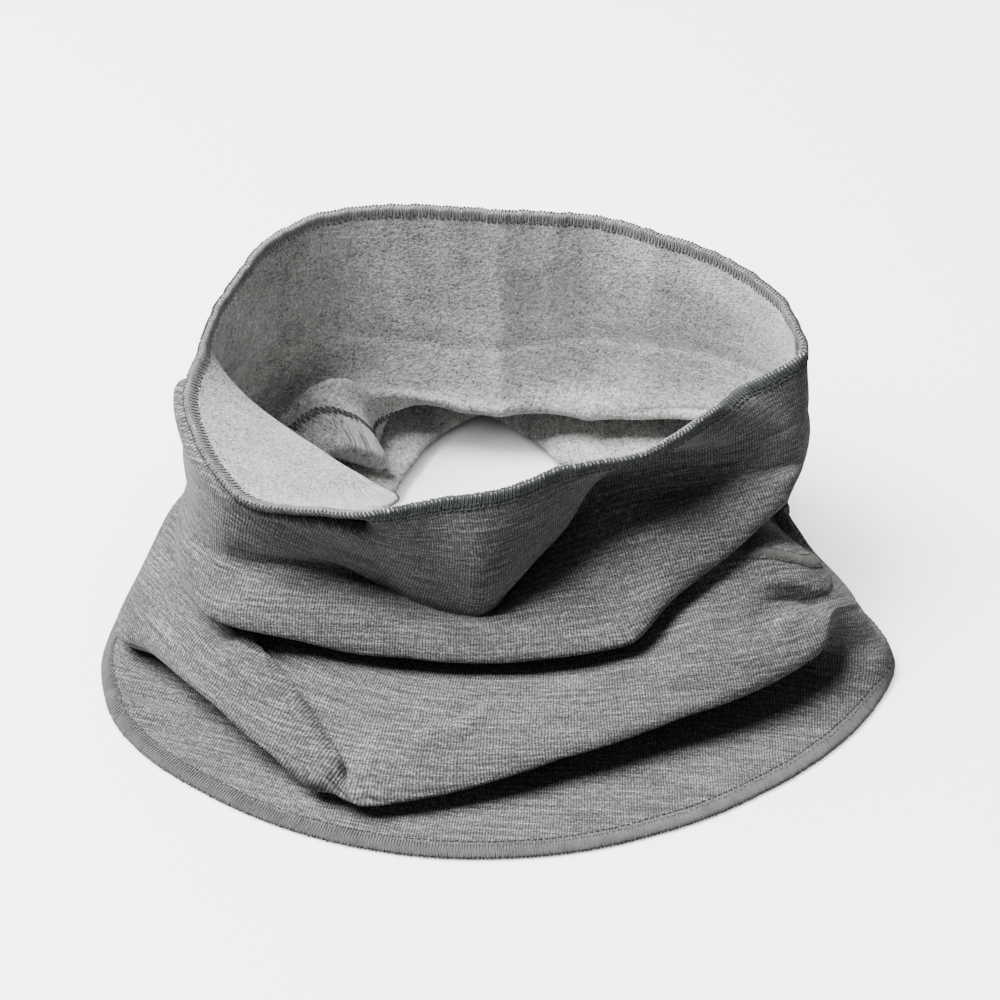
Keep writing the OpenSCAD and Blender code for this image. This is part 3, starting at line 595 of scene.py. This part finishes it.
def stitch_path(line, pattern, seed, pitch=STITCH):
    """One thread that repeats a pattern of (share of a stitch, across, lift) along a whole seam line."""
    rng = np.random.default_rng(seed)
    count = int(round(line.length / pitch))
    pitch = line.length / count
    pattern = np.asarray(pattern, float)
    points = []
    for i in range(count):
        shift = rng.normal(0, STITCH_JITTER, 2)
        for share, across, lift in pattern:
            along = (i + share) * pitch + shift[0] * JITTER_ALONG
            points.append((along, across + shift[1] * JITTER_ACROSS, lift))
    return line.place(points)


# ---------------------------------------------------------------------------
# Materials
# ---------------------------------------------------------------------------

# Colours of the cloth, as (place on a scale from dark to light, linear colour)
JERSEY_TONES = [(0.46, (0.024, 0.027, 0.026)), (0.64, (0.108, 0.113, 0.110)), (0.82, (0.40, 0.403, 0.388))]
FLEECE_TONES = [(0.38, (0.09, 0.095, 0.09)), (0.455, (0.32, 0.325, 0.315)),
                (0.52, (0.49, 0.495, 0.48)), (0.62, (0.82, 0.82, 0.80))]
# Painted shade between the knit's loops and painted highlight on their tops, multiplied into the yarn's
# colour
LOOP_SHADE_AND_HIGHLIGHT = [(0.12, 0.40), (0.45, 0.90), (0.88, 1.28)]
FLOOR_TONE = 0.82
BOUNCE_TONE = 0.30


class Nodes:
    """Short names for building a node material."""

    def __init__(self, name):
        self.material = bpy.data.materials.new(name)
        self.material.use_nodes = True
        self.tree = self.material.node_tree
        self.shader = self.tree.nodes["Principled BSDF"]

    def node(self, kind, **values):
        n = self.tree.nodes.new(kind)
        for key, value in values.items():
            setattr(n, key, value)
        return n

    def link(self, a, b):
        self.tree.links.new(a, b)

    def math(self, operation, a, b=0.0):
        n = self.node("ShaderNodeMath", operation=operation)
        for socket, value in zip(n.inputs, (a, b)):
            if isinstance(value, (int, float)):
                socket.default_value = value
            else:
                self.link(value, socket)
        return n.outputs[0]

    def scaled(self, vector, scale):
        n = self.node("ShaderNodeVectorMath", operation="MULTIPLY")
        self.link(vector, n.inputs[0])
        n.inputs[1].default_value = scale
        return n.outputs[0]

    def noise(self, vector, scale, detail=2.0, roughness=0.5):
        n = self.node("ShaderNodeTexNoise")
        n.inputs["Scale"].default_value = scale
        n.inputs["Detail"].default_value = detail
        n.inputs["Roughness"].default_value = roughness
        self.link(vector, n.inputs["Vector"])
        return n.outputs["Fac"]

    def weighted(self, *terms):
        """Sum of (value, weight) terms."""
        total = self.math("MULTIPLY", *terms[0])
        for term in terms[1:]:
            total = self.math("ADD", total, self.math("MULTIPLY", *term))
        return total

    def ramp(self, fac, stops):
        """Colour ramp of (position, grey or colour) stops."""
        n = self.node("ShaderNodeValToRGB")
        ramp = n.color_ramp
        while len(ramp.elements) < len(stops):
            ramp.elements.new(0.5)
        for element, (at, grey) in zip(ramp.elements, stops):
            element.position = at
            element.color = (*grey, 1.0) if isinstance(grey, tuple) else (grey, grey, grey, 1.0)
        self.link(fac, n.inputs["Fac"])
        return n.outputs["Color"]

    def mix(self, fac, a, b, blend="MIX"):
        n = self.node("ShaderNodeMix", data_type="RGBA", blend_type=blend)
        for socket, value in ((n.inputs["Factor"], fac), (n.inputs["A"], a), (n.inputs["B"], b)):
            if isinstance(value, (int, float, tuple)):
                socket.default_value = value
            else:
                self.link(value, socket)
        return n.outputs["Result"]

    def relief(self, height, strength, distance_m):
        """Fine relief below what the mesh can hold."""
        n = self.node("ShaderNodeBump")
        n.inputs["Strength"].default_value = strength
        n.inputs["Distance"].default_value = distance_m
        self.link(height, n.inputs["Height"])
        self.link(n.outputs["Normal"], self.shader.inputs["Normal"])

    def surface(self, **values):
        """Shader values that are the same all over, by name with _ for each space."""
        for name, value in values.items():
            self.shader.inputs[name.replace("_", " ")].default_value = value


def jersey_material():
    """Heather grey jersey: fine wales down the cloth, courses across, and long melange streaks."""
    m = Nodes("heather_jersey")
    uv = m.node("ShaderNodeUVMap", uv_map=KNIT_MAP).outputs["UV"]
    parts = m.node("ShaderNodeSeparateXYZ")
    m.link(uv, parts.inputs[0])
    # courses and wales wander a little
    wander = m.noise(m.scaled(uv, (0.15, 0.15, 1)), 1.0, 2)
    u = m.math("ADD", parts.outputs["X"], m.math("MULTIPLY", wander, 1.2))
    v = m.math("ADD", parts.outputs["Y"], m.math("MULTIPLY", wander, 1.0))
    wale = m.math("SINE", m.math("MULTIPLY", u, 2 * math.pi / WALE))
    course = m.math("SINE", m.math("MULTIPLY", v, 2 * math.pi / COURSE))
    loops = m.math("ADD", m.math("MULTIPLY", wale, 0.36), m.math("MULTIPLY", course, 0.05))
    loops = m.math("ADD", loops, 0.5)
    # melange: streaks of dark and light yarn along the courses, and single light and dark loops
    long_streak = m.noise(m.scaled(uv, (0.055, 1.1, 1)), 1.0, 4, 0.62)
    short_streak = m.noise(m.scaled(uv, (0.40, 1.6, 1)), 1.0, 3, 0.6)
    fleck = m.noise(m.scaled(uv, (1.25, 2.0, 1)), 1.0, 2, 0.6)
    broad = m.noise(m.scaled(uv, (0.03, 0.06, 1)), 1.0, 2)
    tone = m.weighted((long_streak, 0.40), (short_streak, 0.36), (fleck, 0.46), (broad, 0.08))
    # the loops' painted shade and painted highlight multiply the melange colour
    base = m.mix(1.0, m.ramp(tone, JERSEY_TONES), m.ramp(loops, LOOP_SHADE_AND_HIGHLIGHT), "MULTIPLY")
    m.link(base, m.shader.inputs["Base Color"])
    height = m.weighted((wale, 0.4), (course, 0.08), (fleck, 1.4))
    m.relief(height, 0.6, 0.00022)
    m.surface(Roughness=0.92, Specular_IOR_Level=0.15, Sheen_Weight=0.15, Sheen_Roughness=0.45)
    return m.material


def fleece_material():
    """Light grey brushed fleece: salt-and-pepper fibre under soft mottling."""
    m = Nodes("brushed_fleece")
    uv = m.node("ShaderNodeUVMap", uv_map=KNIT_MAP).outputs["UV"]
    cloud = m.noise(m.scaled(uv, (0.07, 0.08, 1)), 1.0, 2, 0.5)
    tuft = m.noise(m.scaled(uv, (0.26, 0.30, 1)), 1.0, 2, 0.6)
    curl = m.noise(m.scaled(uv, (0.65, 0.70, 1)), 1.0, 1, 0.6)
    fibre = m.noise(m.scaled(uv, (1.25, 1.35, 1)), 1.0, 2, 0.7)
    tone = m.weighted((cloud, 0.15), (tuft, 0.18), (curl, 0.21), (fibre, 0.46))
    m.link(m.ramp(tone, FLEECE_TONES), m.shader.inputs["Base Color"])
    height = m.weighted((tuft, 0.8), (curl, 0.8), (fibre, 0.7))
    m.relief(height, 0.7, 0.0009)
    m.surface(Roughness=0.97, Specular_IOR_Level=0.08, Sheen_Weight=0.35, Sheen_Roughness=0.6)
    return m.material


def thread_material(name, dark, light):
    """Spun thread: fine twist and a little fluff."""
    m = Nodes(name)
    coords = m.node("ShaderNodeTexCoord").outputs["Object"]
    fluff = m.noise(coords, 2600.0, 3, 0.65)
    patch = m.noise(coords, 260.0, 2)
    tone = m.math("ADD", m.math("MULTIPLY", fluff, 0.7), m.math("MULTIPLY", patch, 0.3))
    m.link(m.ramp(tone, [(0.35, dark), (0.65, light)]), m.shader.inputs["Base Color"])
    m.relief(fluff, 0.6, 0.0002)
    m.surface(Roughness=0.85, Specular_IOR_Level=0.25, Sheen_Weight=0.25)
    return m.material


def floor_material(name, tone):
    """Smooth pale studio floor."""
    m = Nodes(name)
    coords = m.node("ShaderNodeTexCoord").outputs["Object"]
    haze = m.noise(coords, 1.2, 2)
    m.link(m.ramp(haze, [(0.3, tone), (0.7, tone * 1.03)]), m.shader.inputs["Base Color"])
    m.surface(Roughness=0.6, Specular_IOR_Level=0.2)
    return m.material


jersey = jersey_material()
fleece = fleece_material()
dark_thread = thread_material("charcoal_thread", (0.020, 0.024, 0.026), (0.085, 0.092, 0.095))
grey_thread = thread_material("grey_thread", (0.062, 0.065, 0.062), (0.185, 0.188, 0.182))
ash_thread = thread_material("ash_thread", (0.11, 0.113, 0.11), (0.36, 0.363, 0.35))
olive_thread = thread_material("olive_grey_thread", (0.050, 0.052, 0.045), (0.150, 0.153, 0.137))


# ---------------------------------------------------------------------------
# The panels
# ---------------------------------------------------------------------------

def finish_piece(obj, material_list, slot_name, *nodes):
    """Gives a piece its materials and hides the CAD nodes that it stands for. slot_name is not used."""
    for material in material_list:
        obj.data.materials.append(material)
    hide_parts(*nodes)
    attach(obj, "root")
    return obj


# The overlock leaves the rim's cut edge slightly rippled: height, waves round the rim, phase
RIPPLES = [(0.12, 41, 0.0), (0.11, 67, 1.3), (0.08, 113, 0.4)]
RIPPLE_ROWS = 8             # rows over which the ripple dies out
RIPPLE_RISE = [0, 0, 0.6]   # share of it that goes straight up

ripple = sum(size * np.sin(waves * np.radians(angles) + phase) for size, waves, phase in RIPPLES)
for row in range(RIPPLE_ROWS):
    middle[row] += (ripple * (1 - row / RIPPLE_ROWS) ** 2)[:, None] * (face_out[row] + RIPPLE_RISE)
face_out = normals_of(middle)

# The cloth is squeezed thinner in its sharpest folds: ring number, share taken off
SQUEEZED = [(3, 0.45), (7, 0.45), (10, 0.40), (11, 0.80)]
SQUEEZE_ROWS = 2.5          # rows either side of the fold that are squeezed

thickness = np.full(len(middle), CLOTH)
for fold, share in SQUEEZED:
    thickness *= 1 - share * np.exp(-((np.arange(len(middle)) - ring_row[fold]) / SQUEEZE_ROWS) ** 2)
upper = cloth_panel("upper_panel_cloth", 0, seam_row, thickness, upper_flat)
lower = cloth_panel("lower_panel_cloth", seam_row, len(middle) - 1, thickness, lower_flat)
finish_piece(upper, [jersey, fleece], "jersey", "upper_panel")
finish_piece(lower, [jersey, fleece], "jersey", "lower_panel")


# ---------------------------------------------------------------------------
# Stitching
# ---------------------------------------------------------------------------

def add_thread(name, paths, radius, material, *nodes):
    """One piece of round thread along its paths."""
    verts, faces = thread_tube(paths, radius)
    obj = add_object(name, verts, faces)
    return finish_piece(obj, [material], "thread", *nodes)


def overlock(prefix, row, inward, w, nodes, upper_thread, lower_thread, upper_pitch):
    """Three threads over a cut edge, w wide. inward is +1 at the rim and -1 at the hem."""
    line = SeamLine(row)
    needle_node, upper_node, lower_node = nodes
    needle = [(0.0, w, TOP - 0.3), (0.05, w, TOP + 0.18), (0.35, w, TOP + 0.26), (0.62, w, TOP + 0.16),
              (0.68, w, TOP - 0.4), (0.72, w, -TOP - 0.10), (0.96, w, -TOP - 0.10)]
    second = [(step + 0.4, across - NEEDLE_ROW_GAP, lift) for step, across, lift in needle]
    over = [(0.0, w - 0.2, TOP + 0.05), (0.12, w * 0.7, TOP + 0.16), (0.22, w * 0.35, TOP + 0.18),
            (0.30, 0.2, TOP + 0.16), (0.38, -0.45, 0.55), (0.55, -0.60, 0.0), (0.68, -0.4, 0.6),
            (0.76, 0.3, TOP + 0.14), (0.85, w * 0.4, TOP + 0.16), (0.94, w * 0.75, TOP + 0.14)]
    under = [(0.5, w - 0.2, -TOP - 0.05), (0.62, w * 0.7, -TOP - 0.16), (0.72, w * 0.35, -TOP - 0.18),
             (0.80, 0.2, -TOP - 0.16), (0.88, -0.45, -0.5), (1.05, -0.55, 0.1), (1.18, -0.35, -0.5),
             (1.26, 0.3, -TOP - 0.14), (1.35, w * 0.4, -TOP - 0.16), (1.44, w * 0.75, -TOP - 0.14)]

    def turned_to(pattern):
        return [(step, inward * across, lift) for step, across, lift in pattern]

    needle_rows = [stitch_path(line, turned_to(needle), seed=3),
                   stitch_path(line, turned_to(second), seed=13)]
    add_thread(prefix + "_needle_stitches", needle_rows, NEEDLE_R, dark_thread, needle_node)
    add_thread(prefix + "_upper_looper_stitches",
               [stitch_path(line, turned_to(over), seed=4, pitch=upper_pitch)], UPPER_LOOPER_R,
               upper_thread, upper_node)
    add_thread(prefix + "_lower_looper_stitches",
               [stitch_path(line, turned_to(under), seed=5, pitch=LOOPER_STITCH)], LOWER_LOOPER_R,
               lower_thread, lower_node)


overlock("rim", 0, 1, RIM_OVERLOCK_W,
         ("rim_needle_thread", "rim_upper_looper_thread", "rim_lower_looper_thread"),
         dark_thread, ash_thread, LOOPER_STITCH)
overlock("hem", len(middle) - 1, -1, HEM_OVERLOCK_W,
         ("hem_needle_thread", "hem_upper_looper_thread", "hem_lower_looper_thread"),
         grey_thread, grey_thread, HEM_LOOPER_STITCH)


def ring_seam():
    """Flat seam: two needle rows and a cover thread outside, a looper thread inside."""
    line = SeamLine(seam_row)
    w = RING_SEAM_W / 2

    def dash(across):
        return [(0.0, across, TOP - 0.3), (0.12, across, TOP + 0.14), (0.5, across, TOP + 0.24),
                (0.88, across, TOP + 0.14)]

    cover = [(0.0, -w, TOP + 0.05), (0.2, -w * 0.5, TOP + 0.2), (0.35, w * 0.5, TOP + 0.2),
             (0.5, w, TOP + 0.06), (0.7, w * 0.5, TOP + 0.2), (0.85, -w * 0.5, TOP + 0.2)]
    loops = [(0.0, -w * 0.6, -TOP - 0.1), (0.3, -w * 0.55, -TOP - 0.22), (0.45, w * 0.1, -TOP - 0.24),
             (0.5, w * 0.6, -TOP - 0.1), (0.8, w * 0.55, -TOP - 0.22), (0.95, -w * 0.1, -TOP - 0.24)]
    add_thread("ring_seam_upper_needle_stitches", [stitch_path(line, dash(-w), seed=6)], NEEDLE_R,
               dark_thread, "ring_seam_needle_thread_upper")
    add_thread("ring_seam_lower_needle_stitches", [stitch_path(line, dash(w), seed=7)], NEEDLE_R,
               dark_thread, "ring_seam_needle_thread_lower")
    add_thread("ring_seam_cover_stitches", [stitch_path(line, cover, seed=8, pitch=COVER_STITCH)], COVER_R,
               olive_thread, "ring_seam_cover_thread")
    add_thread("ring_seam_looper_stitches", [stitch_path(line, loops, seed=9)], NEEDLE_R,
               dark_thread, "ring_seam_looper_thread")


ring_seam()


def side_seam(prefix, first_row, last_row):
    """A needle thread outside and a looper thread inside, down the cut ends of a panel."""
    rows = slice(first_row, last_row + 1)
    here = (middle[rows, 0] + middle[rows, -1]) / 2
    out = face_out[rows, 0] + face_out[rows, -1]
    out /= np.linalg.norm(out, axis=-1, keepdims=True)
    side = middle[rows, 0] - middle[rows, -1]
    side /= np.linalg.norm(side, axis=-1, keepdims=True)
    run = np.concatenate([[0.0], np.cumsum(np.linalg.norm(np.diff(here, axis=0), axis=-1))])
    count = int((run[-1] - 2 * SIDE_SEAM_INSET) / STITCH)

    def path(pattern):
        at = np.array([(SIDE_SEAM_INSET + (i + share) * STITCH, across, lift)
                       for i in range(count) for share, across, lift in pattern])

        def along(values):
            return np.stack([np.interp(at[:, 0], run, values[:, k]) for k in range(3)], -1)

        return along(here) + at[:, 1:2] * along(side) + at[:, 2:3] * along(out)

    zigzag = [(0.0, -1.6, TOP + 0.1), (0.2, -0.8, TOP + 0.34),
              (0.5, 1.6, TOP + 0.12), (0.75, 0.0, TOP + 0.34)]
    ladder = [(0.0, -1.8, -TOP - 0.1), (0.25, 0.0, -TOP - 0.34),
              (0.5, 1.8, -TOP - 0.12), (0.75, 0.0, -TOP - 0.34)]
    add_thread(prefix + "_side_seam_needle_stitches", [path(zigzag)], SIDE_NEEDLE_R, dark_thread,
               prefix + "_side_seam_needle_thread")
    add_thread(prefix + "_side_seam_looper_stitches", [path(ladder)], SIDE_LOOPER_R, grey_thread,
               prefix + "_side_seam_looper_thread")


side_seam("upper", 0, seam_row)
side_seam("lower", seam_row, len(middle) - 1)


# ---------------------------------------------------------------------------
# Floor, light and camera
# ---------------------------------------------------------------------------

FLOOR_REACH = 60000         # from the middle to the floor's edge, mm
BOUNCE_REACH = 3000
BOUNCE_DROP = 1             # how far the unseen twin lies below the floor, mm

WORLD_COLOUR = (0.96, 0.98, 1.0, 1.0)
WORLD_STRENGTH = 0.085

KEY_PLACE = (-0.62, 0.06, 1.20)     # metres, as are the other places and sizes of lights
KEY_AIM = (0, 0, 0.03)
KEY_SIZE = 0.7
KEY_WATTS = 68
SKY_PLACE = (-0.5, 0.6, 3.0)
SKY_STRENGTH = 11.0
SKY_COLOUR = (1, 1, 0.985)
SKY_ANGLE = 110             # degrees of sky that the floor's light comes from

CAMERA_ELEVATION = 42.0     # degrees
CAMERA_DISTANCE = 0.700     # metres
CAMERA_TARGET = (0.0, 0.0395, 0.0)
CAMERA_LENS = 70.0          # mm, on a sensor of the next width
CAMERA_SENSOR = 36.0


def plane(name, reach, height, material):
    """A level square about the origin, in millimetres."""
    corners = [(-reach, -reach, height), (reach, -reach, height),
               (reach, reach, height), (-reach, reach, height)]
    obj = add_object(name, corners, [(0, 1, 2, 3)], smooth=False)
    obj.data.materials.append(material)
    return obj


def lamp(name, kind, place_m, aim_m, energy, colour):
    """A light object turned towards a point."""
    light = bpy.data.lights.new(name, kind)
    light.energy = energy
    light.color = colour
    obj = bpy.data.objects.new(name, light)
    obj.location = place_m
    obj.rotation_euler = (Vector(aim_m) - Vector(place_m)).to_track_quat("-Z", "Y").to_euler()
    bpy.context.scene.collection.objects.link(obj)
    return obj


def studio():
    """Pale floor, one soft key light, and a sky that lights the floor only."""
    floor = plane("floor", FLOOR_REACH, 0, floor_material("studio_floor", FLOOR_TONE))
    floor.visible_diffuse = False
    floor.visible_shadow = False
    # the light that the floor sends back up at the cloth comes from this unseen twin just below it
    bounce = plane("bounce_floor", BOUNCE_REACH, -BOUNCE_DROP, floor_material("bounce", BOUNCE_TONE))
    bounce.visible_camera = False
    bounce.visible_shadow = False
    bounce.visible_glossy = False

    world = bpy.data.worlds.new("studio")
    world.use_nodes = True
    background = world.node_tree.nodes["Background"]
    background.inputs["Color"].default_value = WORLD_COLOUR
    background.inputs["Strength"].default_value = WORLD_STRENGTH
    bpy.context.scene.world = world

    floor_only = bpy.data.collections.new("floor_only")
    floor_only.objects.link(floor)

    key = lamp("key_softbox", "AREA", KEY_PLACE, KEY_AIM, KEY_WATTS, (1, 1, 1))
    key.data.shape = "RECTANGLE"
    key.data.size = KEY_SIZE
    key.data.size_y = KEY_SIZE
    sky = lamp("floor_sky", "SUN", SKY_PLACE, (0, 0, 0), SKY_STRENGTH, SKY_COLOUR)
    sky.data.angle = math.radians(SKY_ANGLE)
    sky.light_linking.receiver_collection = floor_only


def camera():
    """The camera in front of the part, looking down at it."""
    elevation = math.radians(CAMERA_ELEVATION)
    data = bpy.data.cameras.new("camera")
    data.lens = CAMERA_LENS
    data.sensor_width = CAMERA_SENSOR
    obj = bpy.data.objects.new("camera", data)
    x, y, z = CAMERA_TARGET
    obj.location = (x, y - CAMERA_DISTANCE * math.cos(elevation), z + CAMERA_DISTANCE * math.sin(elevation))
    obj.rotation_euler = (math.pi / 2 - elevation, 0, 0)
    bpy.context.scene.collection.objects.link(obj)
    bpy.context.scene.camera = obj


studio()
camera()
